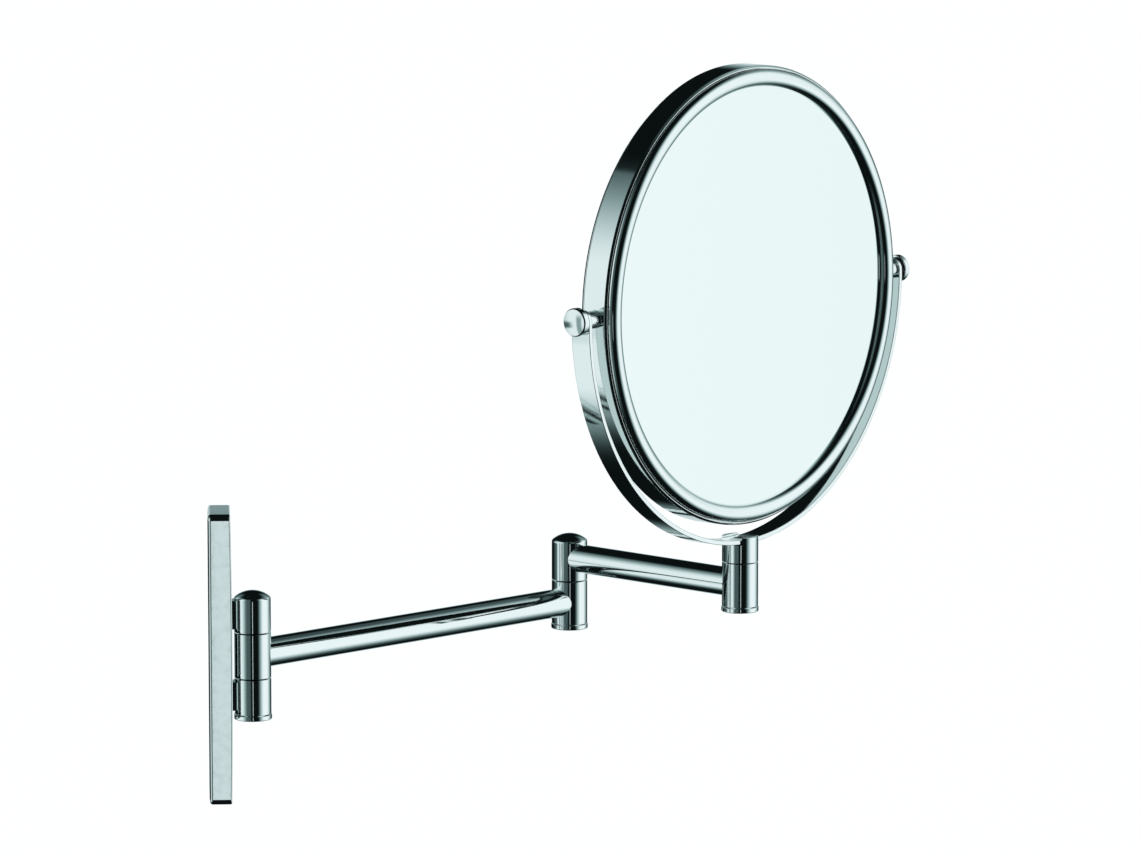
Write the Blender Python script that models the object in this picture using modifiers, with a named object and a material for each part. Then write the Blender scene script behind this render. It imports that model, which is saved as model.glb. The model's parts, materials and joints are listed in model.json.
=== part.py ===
"""Extendable shaving mirror for a bathroom wall: a slim chromed wall plate, two swinging arms on upright
barrel pivots, a U-shaped yoke, and a round two-sided mirror that tilts between two knobs.

Units are metres, +Z is up. The origin is the centre of the wall plate's back, on the wall; the wall is the
plane y = 0 and the room is towards -Y. Heights are counted from arm 1's centreline. Each moving group hangs
from an empty that stands on its joint's axis.
"""

import math

import bmesh
import bpy
from mathutils import Matrix

# ---------------------------------------------------------------- driving dimensions
# Pose shown: angles in plan, from straight out of the wall (-Y), positive towards +X
ARM1_ANGLE = math.radians(40.0)
ARM2_ANGLE = math.radians(-45.0)
HEAD_ANGLE = math.radians(-43.0)  # the way the front glass faces

# Arms
ARM1_LENGTH = 0.186  # wall axis to elbow axis
ARM2_LENGTH = 0.100  # elbow axis to head axis
TUBE_R = 0.00635
TUBE_WALL = 0.0015
SPIGOT_LENGTH = 0.008  # how far a barrel's spigot reaches into its tube

# Barrels, shared by all three upright pivots
BARREL_R = 0.00795
BARREL_HEIGHT = 0.0194
DOME_SHOULDER_R = 0.0016
DOME_CURVE_R = 0.0120
EDGE_CHAMFER = 0.0002
SEAM = 0.0004  # open line between two barrels
ARM_RISE = 0.0200  # arm 2's centreline above arm 1's
ARM2_DOME_TOP = 0.0108  # top of the elbow dome above arm 2's centreline
BORE_ROOF = 0.0050  # metal left between a dome's top and its blind bore

# Pivot hardware
PIN_R = 0.0035
PIN_CLEARANCE = 0.0002
WASHER_R = 0.0060
WASHER_THICKNESS = 0.0008
CAP_R = BARREL_R + 0.00025
CAP_THICKNESS = 0.0021
CAP_EDGE = 0.0005
CAP_SPIGOT_R = 0.0058
CAP_SPIGOT_LENGTH = 0.0029
CAP_FLOOR = 0.0012  # metal left under the pin's end
SPRING_THICKNESS = 0.0005
SPRING_CONE = 0.0006  # height of the disc spring's cone
PIN_TOP_GAP = 0.0003

# Wall plate
PLATE_WIDTH = 0.0290
PLATE_HEIGHT = 0.1260
PLATE_THICKNESS = 0.0100  # at the middle of the crown
PLATE_CROWN = 0.0006  # how much thinner the plate is at its top and bottom
PLATE_SIDE_WALL = 0.0030
PLATE_FRONT_WALL = 0.0030
PLATE_FRONT_EDGE = 0.0009
PLATE_SIDE_EDGE = 0.0018
CROWN_CUTS = 7
WALL_AXIS_GAP = 0.00075  # between the plate's crown and the turning barrel

# Wall bracket, inside the plate
BRACKET_SHEET = 0.0020
BRACKET_FRONT_GAP = 0.0009  # from the flanges to the inside of the plate's front
BRACKET_FLANGE = PLATE_THICKNESS - PLATE_FRONT_WALL - PLATE_CROWN - BRACKET_FRONT_GAP
BRACKET_SIDE_GAP = 0.0006
BRACKET_HOLE_R = 0.0025
BRACKET_HOLE_SPACING = 0.0900
GRUB_R = 0.0020
GRUB_SOCKET_R = 0.0011
GRUB_SOCKET_DEPTH = 0.0015

# Wall knuckles
KNUCKLE_REACH = 0.0280  # from arm 1's centreline to the dome's top, and to the cap's bottom
LUG_HEIGHT = 0.0124
LUG_CENTRE = 0.0177  # above and below arm 1's centreline
LUG_WIDTH = 0.0080
KNUCKLE_SCREW_R = 0.0020
KNUCKLE_SCREW_HEAD_R = 0.0035
KNUCKLE_SCREW_HEAD = 0.0022
KNUCKLE_SCREW_GRIP = 0.0032  # length of thread in the lug

# Yoke
YOKE_SPACING = 0.0070  # open gap between the mirror's rim and the yoke
YOKE_THICKNESS = 0.0020
YOKE_WIDTH = 0.0100
POST_HEIGHT = 0.0111
POST_FLOOR = 0.0079  # slot floor above the post's bottom
SLOT_CLEARANCE = 0.0005  # on each side of the band
YOKE_SCREW_R = 0.0014
YOKE_SCREW_HEAD_R = 0.0026
YOKE_SCREW_LENGTH = 0.0070
PIN_TAP_DEPTH = 0.0080
COUNTERSINK = 0.0012

# Mirror head; offsets are measured from the tilt axis along the way a glass faces
RIM_R = 0.1000
RIM_WALL = 0.0012
RIM_HALF_DEPTH = 0.0065
BEZEL_WIDTH = 0.0075
BEZEL_BULGE = 0.0033
SKIRT_THICKNESS = 0.0008
SKIRT_DEPTH = 0.0020
GLASS_THICKNESS = 0.0020
GLASS_EDGE_GAP = 0.0005  # between a glass and the skirt round it
REAR_GLASS_CURVE_R = 0.850  # hollow curve of the magnifying glass
CARRIER_WIDTH = 0.0056
CARRIER_GAP = 0.0007  # between the carrier and the studs' ends

# Tilt pivots
KNOB_R = 0.0061
KNOB_THICKNESS = 0.0038
KNOB_EDGE = 0.0005
STUD_R = 0.0020
STUD_CLEARANCE = 0.0003
KNOB_WASHER_R = 0.0052
KNOB_WASHER_THICKNESS = 0.0005
SPACER_R = 0.0040
NUT_FLATS = 0.0060
NUT_THICKNESS = 0.0042

GAP = 0.0003  # between pieces that touch
CUT = 0.0010  # how far a cutter runs past what it cuts
WELD = 0.00001
SMOOTH_ANGLE = math.radians(35)
SQUARE_EDGE_ANGLE = math.radians(60)  # an edge that turns more than this is a corner to round

ROUND_STEPS = 24
SMALL_STEPS = 16
RING_STEPS = 60
BEND_STEPS = 36  # along the yoke's half circle
END_STEPS = 12  # round each end of the yoke
BULGE_STEPS = 8  # across a bezel
DOME_STEPS = 3  # along each of a dome's two arcs
EDGE_STEPS = 2  # round a rounded edge
HOLLOW_STEPS = 3  # from the hollow glass's centre to its edge

# ---------------------------------------------------------------- sizes that follow
PLATE_EDGE_THICKNESS = PLATE_THICKNESS - PLATE_CROWN
WALL_AXIS_Y = -(PLATE_THICKNESS + WALL_AXIS_GAP + BARREL_R)
HALF_BARREL = BARREL_HEIGHT / 2
BORE_R = PIN_R + PIN_CLEARANCE
RECESS_R = WASHER_R + GAP
RECESS_DEPTH = WASHER_THICKNESS + 2 * GAP - SEAM
COUNTERBORE_R = CAP_SPIGOT_R + GAP
SPRING_SPACE = SPRING_THICKNESS + SPRING_CONE + 2 * GAP
COUNTERBORE_DEPTH = CAP_SPIGOT_LENGTH - GAP + SPRING_SPACE
STUD_HOLE_R = STUD_R + STUD_CLEARANCE
NEXT_BARREL = HALF_BARREL + SEAM  # from a tube's centreline to the face of the barrel beyond the seam
POST_BOTTOM = NEXT_BARREL
POST_SLOT = POST_BOTTOM + POST_FLOOR
POST_TOP = POST_BOTTOM + POST_HEIGHT
YOKE_INNER_R = RIM_R + YOKE_SPACING
YOKE_OUTER_R = YOKE_INNER_R + YOKE_THICKNESS
MIRROR_RISE = POST_SLOT + GAP + YOKE_OUTER_R  # tilt axis above arm 2's centreline
GLASS_FACE = RIM_HALF_DEPTH - GAP  # just under the bezel
SKIRT_OUTER_R = RIM_R - RIM_WALL - GAP
SKIRT_INNER_R = SKIRT_OUTER_R - SKIRT_THICKNESS
BEZEL_INNER_R = SKIRT_OUTER_R - BEZEL_WIDTH
GLASS_R = SKIRT_INNER_R - GLASS_EDGE_GAP
POCKET_WIDTH = PLATE_WIDTH - 2 * PLATE_SIDE_WALL
POCKET_HEIGHT = PLATE_HEIGHT - 2 * PLATE_SIDE_WALL
POCKET_DEPTH = PLATE_THICKNESS - PLATE_FRONT_WALL
BRACKET_HEIGHT = POCKET_HEIGHT - 2 * BRACKET_SIDE_GAP
LUG_ROOT = COUNTERBORE_R + GAP  # how near the pivot's axis a lug's block starts, clear of the cap's bore
KNOB_INNER = YOKE_OUTER_R + 2 * GAP + KNOB_WASHER_THICKNESS
NUT_OUTER = RIM_R - RIM_WALL - GAP
STUD_END = NUT_OUTER - NUT_THICKNESS
CARRIER_OUTER_R = STUD_END - CARRIER_GAP
CARRIER_INNER_R = CARRIER_OUTER_R - CARRIER_WIDTH
KNUCKLE_LOWER_FACE = KNUCKLE_REACH - CAP_THICKNESS - GAP
KNUCKLE_BORE_TOP = KNUCKLE_REACH - BORE_ROOF


# ---------------------------------------------------------------- scene and materials
def clear_scene():
    for obj in list(bpy.data.objects):
        bpy.data.objects.remove(obj, do_unlink=True)


def new_collection(name):
    made = bpy.data.collections.new(name)
    bpy.context.scene.collection.children.link(made)
    return made


def finish(name, colour, roughness, metallic):
    """A plain Principled finish, named once and shared by the pieces made of it."""
    material = bpy.data.materials.new(name)
    material.use_nodes = True
    shader = material.node_tree.nodes["Principled BSDF"]
    shader.inputs["Base Color"].default_value = (*colour, 1.0)
    shader.inputs["Roughness"].default_value = roughness
    shader.inputs["Metallic"].default_value = metallic
    material.diffuse_color = (*colour, 1.0)
    return material


clear_scene()
PARTS = new_collection("extendable_shaving_mirror")
CUTTERS = new_collection("cutters")
CHROME = finish("polished_chrome", (0.78, 0.82, 0.82), 0.06, 1.0)
STEEL = finish("zinc_plated_steel", (0.55, 0.56, 0.57), 0.35, 1.0)
NYLON = finish("black_nylon", (0.03, 0.03, 0.03), 0.5, 0.0)
BRACKET_STEEL = finish("stainless_sheet", (0.60, 0.60, 0.58), 0.4, 1.0)
SILVERED = finish("silvered_glass", (0.90, 0.93, 0.92), 0.02, 1.0)
CARRIER_PLASTIC = finish("grey_plastic", (0.35, 0.36, 0.37), 0.55, 0.0)


# ---------------------------------------------------------------- shape tools
def add_object(name, data, material, parent):
    obj = bpy.data.objects.new(name, data)
    PARTS.objects.link(obj)
    data.materials.append(material)
    obj.parent = parent
    return obj


def smooth(mesh):
    mesh.shade_smooth()
    mesh.set_sharp_from_angle(angle=SMOOTH_ANGLE)


def mesh_from(name, build):
    """A mesh made by a function that fills a bmesh, with its faces turned outwards."""
    work = bmesh.new()
    build(work)
    bmesh.ops.recalc_face_normals(work, faces=work.faces)
    mesh = bpy.data.meshes.new(name)
    work.to_mesh(mesh)
    work.free()
    return mesh


def profile_mesh(name, outline, closed):
    """A profile at +X in the XZ plane, for a Screw modifier. It runs down its outer side."""
    mesh = bpy.data.meshes.new(name)
    count = len(outline)
    edges = [(i, i + 1) for i in range(count - 1)]
    if closed:
        edges.append((count - 1, 0))
    mesh.from_pydata([(radius, 0.0, height) for radius, height in outline], edges, [])
    return mesh


def settle(obj):
    """Replaces an object's modifiers by the mesh that they make."""
    graph = bpy.context.evaluated_depsgraph_get()
    mesh = bpy.data.meshes.new_from_object(obj.evaluated_get(graph))
    obj.modifiers.clear()
    obj.data = mesh
    smooth(mesh)


def turned(name, outline, material, parent, steps=ROUND_STEPS, closed=False):
    """A turned piece: the outline, as (radius, height) pairs, spun about Z."""
    obj = add_object(name, profile_mesh(name, outline, closed), material, parent)
    screw = obj.modifiers.new("turn", "SCREW")
    screw.angle = math.tau
    screw.steps = screw.render_steps = steps
    screw.use_merge_vertices = True
    screw.merge_threshold = WELD
    settle(obj)
    return obj


def as_cutter(obj):
    """Moves a shape to the cutters, where it only cuts or joins."""
    PARTS.objects.unlink(obj)
    CUTTERS.objects.link(obj)
    obj.hide_render = True
    obj.display_type = "WIRE"
    return obj


def cylinder(name, radius, length, centre, along, parent, steps=SMALL_STEPS):
    """A plain cylinder for cutting or joining, along "X", "Y" or "Z" of its parent.

    It is turned by half a step, so that none of its corners falls on a plane of symmetry.
    """

    def build(work):
        half_step = Matrix.Rotation(math.pi / steps, 4, "Z")
        bmesh.ops.create_cone(
            work, cap_ends=True, segments=steps, radius1=radius, radius2=radius, depth=length,
            matrix=half_step,
        )

    obj = add_object(name, mesh_from(name, build), CHROME, parent)
    obj.rotation_euler = {
        "X": (0.0, math.pi / 2, 0.0),
        "Y": (math.pi / 2, 0.0, 0.0),
        "Z": (0.0, 0.0, 0.0),
    }[along]
    obj.location = centre
    return as_cutter(obj)


def box_mesh(name, size):
    def build(work):
        bmesh.ops.create_cube(work, size=1.0)
        bmesh.ops.scale(work, vec=size, verts=work.verts)

    return mesh_from(name, build)


def box(name, size, centre, parent):
    obj = add_object(name, box_mesh(name, size), CHROME, parent)
    obj.location = centre
    return as_cutter(obj)


def boolean(obj, other, operation):
    modifier = obj.modifiers.new(operation.lower(), "BOOLEAN")
    modifier.operation = operation
    modifier.solver = "EXACT"
    modifier.object = other


def axis_empty(name, location, turn, parent=None):
    """An empty on a joint's axis. Its group is modelled in the empty's own frame."""
    empty = bpy.data.objects.new(name, None)
    PARTS.objects.link(empty)
    empty.empty_display_size = BARREL_R
    empty.location = location
    empty.rotation_euler = (0.0, 0.0, turn)
    empty.parent = parent
    return empty


def arc(centre_r, centre_z, radius, start, end, steps):
    """Points (radius, height) on an arc; angles from +X towards +Z."""
    return [
        (
            centre_r + radius * math.cos(start + (end - start) * i / steps),
            centre_z + radius * math.sin(start + (end - start) * i / steps),
        )
        for i in range(steps + 1)
    ]


def ring_outline(outer_r, inner_r, top, bottom):
    return [(outer_r, top), (outer_r, bottom), (inner_r, bottom), (inner_r, top)]


# ---------------------------------------------------------------- joint frames
WALL = axis_empty("wall_frame", (0.0, 0.0, 0.0), 0.0)
WALL_AXIS = axis_empty("wall_axis", (0.0, WALL_AXIS_Y, 0.0), 0.0, WALL)
ARM1 = axis_empty("wall_swivel_axis", (0.0, WALL_AXIS_Y, 0.0), ARM1_ANGLE - math.pi / 2, WALL)
ELBOW = axis_empty("elbow_swivel_axis", (ARM1_LENGTH, 0.0, ARM_RISE), ARM2_ANGLE - ARM1_ANGLE, ARM1)
HEAD = axis_empty(
    "head_swivel_axis", (ARM2_LENGTH, 0.0, 0.0), HEAD_ANGLE - ARM2_ANGLE + math.pi / 2, ELBOW
)
TILT = axis_empty("mirror_tilt_axis", (0.0, 0.0, MIRROR_RISE), 0.0, HEAD)


# ---------------------------------------------------------------- barrels
def dome_outline(top):
    """The shallow dome that closes a barrel: a wide arc, then a tight shoulder."""
    shoulder_centre_r = BARREL_R - DOME_SHOULDER_R
    # The wide arc meets the shoulder where both have the same slope.
    tilt = math.asin(shoulder_centre_r / (DOME_CURVE_R - DOME_SHOULDER_R))
    wide_centre_z = top - DOME_CURVE_R
    shoulder_centre_z = wide_centre_z + (DOME_CURVE_R - DOME_SHOULDER_R) * math.cos(tilt)
    wide = arc(0.0, wide_centre_z, DOME_CURVE_R, math.pi / 2, math.pi / 2 - tilt, DOME_STEPS)
    shoulder = arc(
        shoulder_centre_r, shoulder_centre_z, DOME_SHOULDER_R, math.pi / 2 - tilt, 0.0, DOME_STEPS
    )
    return [(0.0, top)] + wide[1:] + shoulder[1:]


def outer_edge_down(bottom):
    return [(BARREL_R, bottom + EDGE_CHAMFER), (BARREL_R - EDGE_CHAMFER, bottom)]


def barrel_outline(top, bottom, top_recess, bottom_space):
    """An open barrel. Its top may be recessed for a washer, and its bottom for a washer or a cap."""
    outline = [(BARREL_R - EDGE_CHAMFER, top), (BARREL_R, top - EDGE_CHAMFER)]
    outline += outer_edge_down(bottom)
    if bottom_space:
        radius, depth = bottom_space
        outline += [(radius, bottom), (radius, bottom + depth), (BORE_R, bottom + depth)]
    else:
        outline.append((BORE_R, bottom))
    if top_recess:
        radius, depth = top_recess
        outline += [(BORE_R, top - depth), (radius, top - depth), (radius, top)]
    else:
        outline.append((BORE_R, top))
    return outline


def domed_outline(top, bottom, bore_top):
    """A barrel closed by a dome, with a blind bore from below."""
    return (
        dome_outline(top)
        + outer_edge_down(bottom)
        + [(BORE_R, bottom), (BORE_R, bore_top), (0.0, bore_top)]
    )


WASHER_RECESS = (RECESS_R, RECESS_DEPTH)
CAP_SPACE = (COUNTERBORE_R, COUNTERBORE_DEPTH)


def add_spigot(barrel, towards, height, parent):
    """The stub that carries a tube, joined to a barrel; towards is +1 or -1 along the parent's X."""
    root = (BORE_R + BARREL_R) / 2
    length = BARREL_R + SPIGOT_LENGTH - root
    centre = (towards * (root + length / 2), 0.0, height)
    stub = cylinder(
        barrel.name + "_spigot", TUBE_R - TUBE_WALL - GAP, length, centre, "X", parent
    )
    boolean(barrel, stub, "UNION")


def tube(name, length, height, parent):
    """An arm's tube, hollow, with both ends shaped to sit against the barrels."""
    start = BARREL_R / 2
    inner = TUBE_R - TUBE_WALL
    end = length - start
    outline = [(TUBE_R, end), (TUBE_R, start), (inner, start), (inner, end)]
    obj = turned(name, outline, CHROME, parent, closed=True)
    obj.rotation_euler = (0.0, math.pi / 2, 0.0)
    obj.location = (0.0, 0.0, height)
    for x, end_name in ((0.0, "near"), (length, "far")):
        cope = cylinder(
            f"{name}_{end_name}_cope", BARREL_R + GAP, BARREL_HEIGHT + 2 * CUT, (x, 0.0, height),
            "Z", parent, ROUND_STEPS,
        )
        boolean(obj, cope, "DIFFERENCE")
    return obj


# ---------------------------------------------------------------- pivot hardware
def washer(name, bottom, parent):
    """The nylon washer in a seam, in the recess of the barrel below it."""
    outline = ring_outline(WASHER_R, BORE_R, bottom + WASHER_THICKNESS, bottom)
    return turned(name, outline, NYLON, parent, SMALL_STEPS, closed=True)


def pin(name, top, cap_top, parent, tapped=False):
    """A pivot pin, from its top down into its cap. A tapped one takes the yoke's screw."""
    bottom = cap_top - CAP_THICKNESS + CAP_FLOOR + GAP
    outline = [(PIN_R - EDGE_CHAMFER, top), (PIN_R, top - EDGE_CHAMFER)]
    outline += [(PIN_R, bottom + EDGE_CHAMFER), (PIN_R - EDGE_CHAMFER, bottom), (0.0, bottom)]
    if tapped:
        hole_r = YOKE_SCREW_R + GAP
        outline = [(0.0, top - PIN_TAP_DEPTH), (hole_r, top - PIN_TAP_DEPTH), (hole_r, top)] + outline
    else:
        outline = [(0.0, top)] + outline
    return turned(name, outline, STEEL, parent, SMALL_STEPS)


def cap(name, top, parent):
    """The cap nut under a pivot: a flange just wider than the barrel, and a spigot inside it."""
    bottom = top - CAP_THICKNESS
    spigot_top = top + CAP_SPIGOT_LENGTH
    floor = bottom + CAP_FLOOR
    outline = [(0.0, floor), (BORE_R, floor), (BORE_R, spigot_top), (CAP_SPIGOT_R, spigot_top)]
    outline += [(CAP_SPIGOT_R, top), (CAP_R - EDGE_CHAMFER, top), (CAP_R, top - EDGE_CHAMFER)]
    outline += arc(CAP_R - CAP_EDGE, bottom + CAP_EDGE, CAP_EDGE, 0.0, -math.pi / 2, EDGE_STEPS)
    outline.append((0.0, bottom))
    return turned(name, outline, CHROME, parent)


def disc_spring(name, cap_top, parent):
    """The coned spring washer between a cap's spigot and its barrel, which sets the pivot's drag."""
    inner_bottom = cap_top + CAP_SPIGOT_LENGTH + GAP
    outer_bottom = inner_bottom + SPRING_CONE
    outline = [
        (CAP_SPIGOT_R, outer_bottom + SPRING_THICKNESS),
        (CAP_SPIGOT_R, outer_bottom),
        (BORE_R, inner_bottom),
        (BORE_R, inner_bottom + SPRING_THICKNESS),
    ]
    return turned(name, outline, STEEL, parent, SMALL_STEPS, closed=True)


def bottom_hardware(prefix, barrel_bottom, parent):
    """Cap and disc spring under a barrel; returns the cap's top, which sets the pin's length."""
    cap_top = barrel_bottom - GAP
    cap(prefix + "_cap", cap_top, parent)
    disc_spring(prefix + "_disc_spring", cap_top, parent)
    return cap_top


# ---------------------------------------------------------------- wall plate and bracket
def crowned_plate_mesh():
    """The plate's outside: a bar with a front that is slightly crowned from top to bottom, edges rounded."""

    def build(work):
        bmesh.ops.create_cube(work, size=1.0)
        bmesh.ops.scale(work, vec=(PLATE_WIDTH, PLATE_EDGE_THICKNESS, PLATE_HEIGHT), verts=work.verts)
        bmesh.ops.translate(work, vec=(0.0, -PLATE_EDGE_THICKNESS / 2, 0.0), verts=work.verts)
        upright = [e for e in work.edges if abs(e.verts[0].co.z - e.verts[1].co.z) > PLATE_HEIGHT / 2]
        bmesh.ops.subdivide_edges(work, edges=upright, cuts=CROWN_CUTS, use_grid_fill=True)
        for vert in work.verts:
            if vert.co.y < -PLATE_EDGE_THICKNESS / 2:
                vert.co.y -= PLATE_CROWN * (1.0 - (2.0 * vert.co.z / PLATE_HEIGHT) ** 2)
        bmesh.ops.recalc_face_normals(work, faces=work.faces)

        def sharp(edge):
            return edge.calc_face_angle(0.0) > SQUARE_EDGE_ANGLE

        def on_front(edge):
            return all(v.co.y < -PLATE_EDGE_THICKNESS / 2 for v in edge.verts)

        front = [e for e in work.edges if sharp(e) and on_front(e)]
        bevel(work, front, PLATE_FRONT_EDGE)
        side = [e for e in work.edges if sharp(e) and not on_front(e)]
        bevel(work, side, PLATE_SIDE_EDGE)

    return mesh_from("wall_plate", build)


def bevel(work, edges, width):
    bmesh.ops.bevel(
        work, geom=edges, offset=width, offset_type="OFFSET", affect="EDGES", segments=EDGE_STEPS,
        profile=0.5, material=-1, clamp_overlap=True,
    )


def make_wall_plate():
    plate = add_object("wall_plate", crowned_plate_mesh(), CHROME, WALL)
    smooth(plate.data)
    pocket = box(
        "plate_pocket", (POCKET_WIDTH, POCKET_DEPTH + CUT, POCKET_HEIGHT),
        (0.0, (CUT - POCKET_DEPTH) / 2, 0.0), WALL,
    )
    boolean(plate, pocket, "DIFFERENCE")
    for side, place in ((1, "upper"), (-1, "lower")):
        hole = cylinder(
            f"plate_{place}_screw_hole", KNUCKLE_SCREW_R + GAP, 2 * PLATE_THICKNESS,
            (0.0, -PLATE_THICKNESS, side * LUG_CENTRE), "Y", WALL,
        )
        boolean(plate, hole, "DIFFERENCE")
    grub_hole = cylinder(
        "plate_grub_hole", GRUB_R + GAP, PLATE_SIDE_WALL + 2 * CUT,
        (0.0, grub_y(), (PLATE_SIDE_WALL - PLATE_HEIGHT) / 2), "Z", WALL,
    )
    boolean(plate, grub_hole, "DIFFERENCE")


def grub_y():
    """The grub screw meets the middle of the bracket's lower flange."""
    return -(BRACKET_SHEET + BRACKET_FLANGE) / 2


def make_wall_bracket():
    width = POCKET_WIDTH - 2 * BRACKET_SIDE_GAP
    bracket = add_object("wall_bracket", box_mesh("wall_bracket", (width, BRACKET_FLANGE, BRACKET_HEIGHT)),
                         BRACKET_STEEL, WALL)
    bracket.location = (0.0, -BRACKET_FLANGE / 2, 0.0)
    inside = box(
        "bracket_inside", (width + 2 * CUT, BRACKET_FLANGE, BRACKET_HEIGHT - 2 * BRACKET_SHEET),
        (0.0, -BRACKET_SHEET - BRACKET_FLANGE / 2, 0.0), WALL,
    )
    boolean(bracket, inside, "DIFFERENCE")
    for side, place in ((1, "upper"), (-1, "lower")):
        hole = cylinder(
            f"bracket_{place}_hole", BRACKET_HOLE_R, BRACKET_SHEET + 2 * CUT,
            (0.0, -BRACKET_SHEET / 2, side * BRACKET_HOLE_SPACING / 2), "Y", WALL,
        )
        boolean(bracket, hole, "DIFFERENCE")


def make_grub_screw():
    """It comes up through the plate's lower wall and presses on the bracket."""
    bottom = -PLATE_HEIGHT / 2 + GAP
    top = -BRACKET_HEIGHT / 2 - GAP
    outline = [
        (0.0, top), (GRUB_R - EDGE_CHAMFER, top), (GRUB_R, top - EDGE_CHAMFER), (GRUB_R, bottom),
        (GRUB_SOCKET_R, bottom), (GRUB_SOCKET_R, bottom + GRUB_SOCKET_DEPTH),
        (0.0, bottom + GRUB_SOCKET_DEPTH),
    ]
    screw = turned("plate_grub_screw", outline, STEEL, WALL, SMALL_STEPS)
    screw.location = (0.0, grub_y(), 0.0)


# ---------------------------------------------------------------- wall knuckles
def add_lug(knuckle, height):
    """The block that joins a knuckle to the plate, with the blind hole for its screw."""
    face_y = -(PLATE_THICKNESS + GAP)
    depth = face_y - WALL_AXIS_Y - LUG_ROOT
    lug = box(
        knuckle.name + "_lug", (LUG_WIDTH, depth, LUG_HEIGHT),
        (0.0, face_y - WALL_AXIS_Y - depth / 2, height), WALL_AXIS,
    )
    boolean(knuckle, lug, "UNION")
    hole_length = KNUCKLE_SCREW_GRIP + GAP + CUT
    hole = cylinder(
        knuckle.name + "_tapping", KNUCKLE_SCREW_R + GAP, hole_length,
        (0.0, face_y - WALL_AXIS_Y + CUT - hole_length / 2, height), "Y", WALL_AXIS,
    )
    boolean(knuckle, hole, "DIFFERENCE")


def make_knuckle_screw(name, height):
    """A pan-head screw from inside the plate's pocket into a lug."""
    head_bottom = PLATE_THICKNESS - PLATE_FRONT_WALL - GAP
    tip = PLATE_THICKNESS + GAP + KNUCKLE_SCREW_GRIP
    outline = [
        (0.0, tip),
        (KNUCKLE_SCREW_R, tip),
        (KNUCKLE_SCREW_R, head_bottom),
        (KNUCKLE_SCREW_HEAD_R, head_bottom),
        (KNUCKLE_SCREW_HEAD_R, head_bottom - KNUCKLE_SCREW_HEAD + EDGE_CHAMFER),
        (KNUCKLE_SCREW_HEAD_R - EDGE_CHAMFER, head_bottom - KNUCKLE_SCREW_HEAD),
        (0.0, head_bottom - KNUCKLE_SCREW_HEAD),
    ]
    screw = turned(name, outline, STEEL, WALL, SMALL_STEPS)
    screw.rotation_euler = (math.pi / 2, 0.0, 0.0)
    screw.location = (0.0, 0.0, height)


def make_wall_joint():
    upper = turned(
        "upper_knuckle", domed_outline(KNUCKLE_REACH, NEXT_BARREL, KNUCKLE_BORE_TOP), CHROME, WALL_AXIS
    )
    add_lug(upper, LUG_CENTRE)
    lower = turned(
        "lower_knuckle", barrel_outline(-NEXT_BARREL, -KNUCKLE_LOWER_FACE, None, CAP_SPACE),
        CHROME, WALL_AXIS, closed=True,
    )
    add_lug(lower, -LUG_CENTRE)
    make_knuckle_screw("upper_knuckle_screw", LUG_CENTRE)
    make_knuckle_screw("lower_knuckle_screw", -LUG_CENTRE)
    cap_top = bottom_hardware("wall", -KNUCKLE_LOWER_FACE, WALL_AXIS)
    pin("wall_pin", KNUCKLE_BORE_TOP - PIN_TOP_GAP, cap_top, WALL_AXIS)
    washer("wall_upper_washer", HALF_BARREL - RECESS_DEPTH + GAP, WALL_AXIS)
    washer("wall_lower_washer", -NEXT_BARREL + GAP, WALL_AXIS)


# ---------------------------------------------------------------- arms
def make_arm1():
    root = turned(
        "arm1_wall_barrel",
        barrel_outline(HALF_BARREL, -HALF_BARREL, WASHER_RECESS, WASHER_RECESS),
        CHROME, ARM1, closed=True,
    )
    add_spigot(root, 1, 0.0, ARM1)
    tube("arm1_tube", ARM1_LENGTH, 0.0, ARM1)
    end_frame = axis_empty("arm1_end", (ARM1_LENGTH, 0.0, 0.0), 0.0, ARM1)
    end = turned(
        "arm1_elbow_barrel", barrel_outline(HALF_BARREL, -HALF_BARREL, WASHER_RECESS, CAP_SPACE),
        CHROME, end_frame, closed=True,
    )
    add_spigot(end, -1, 0.0, end_frame)
    washer("elbow_washer", HALF_BARREL - RECESS_DEPTH + GAP, end_frame)


def make_arm2():
    """Its frame's height is arm 2's own centreline."""
    bottom = NEXT_BARREL - ARM_RISE
    bore_top = ARM2_DOME_TOP - BORE_ROOF
    elbow = turned("arm2_elbow_barrel", domed_outline(ARM2_DOME_TOP, bottom, bore_top), CHROME, ELBOW)
    add_spigot(elbow, 1, 0.0, ELBOW)
    cap_top = bottom_hardware("elbow", -HALF_BARREL - ARM_RISE, ELBOW)
    pin("elbow_pin", bore_top - PIN_TOP_GAP, cap_top, ELBOW)
    tube("arm2_tube", ARM2_LENGTH, 0.0, ELBOW)
    end_frame = axis_empty("arm2_end", (ARM2_LENGTH, 0.0, 0.0), 0.0, ELBOW)
    end = turned(
        "arm2_head_barrel", barrel_outline(HALF_BARREL, -HALF_BARREL, WASHER_RECESS, CAP_SPACE),
        CHROME, end_frame, closed=True,
    )
    add_spigot(end, -1, 0.0, end_frame)
    washer("head_washer", HALF_BARREL - RECESS_DEPTH + GAP, end_frame)


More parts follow.
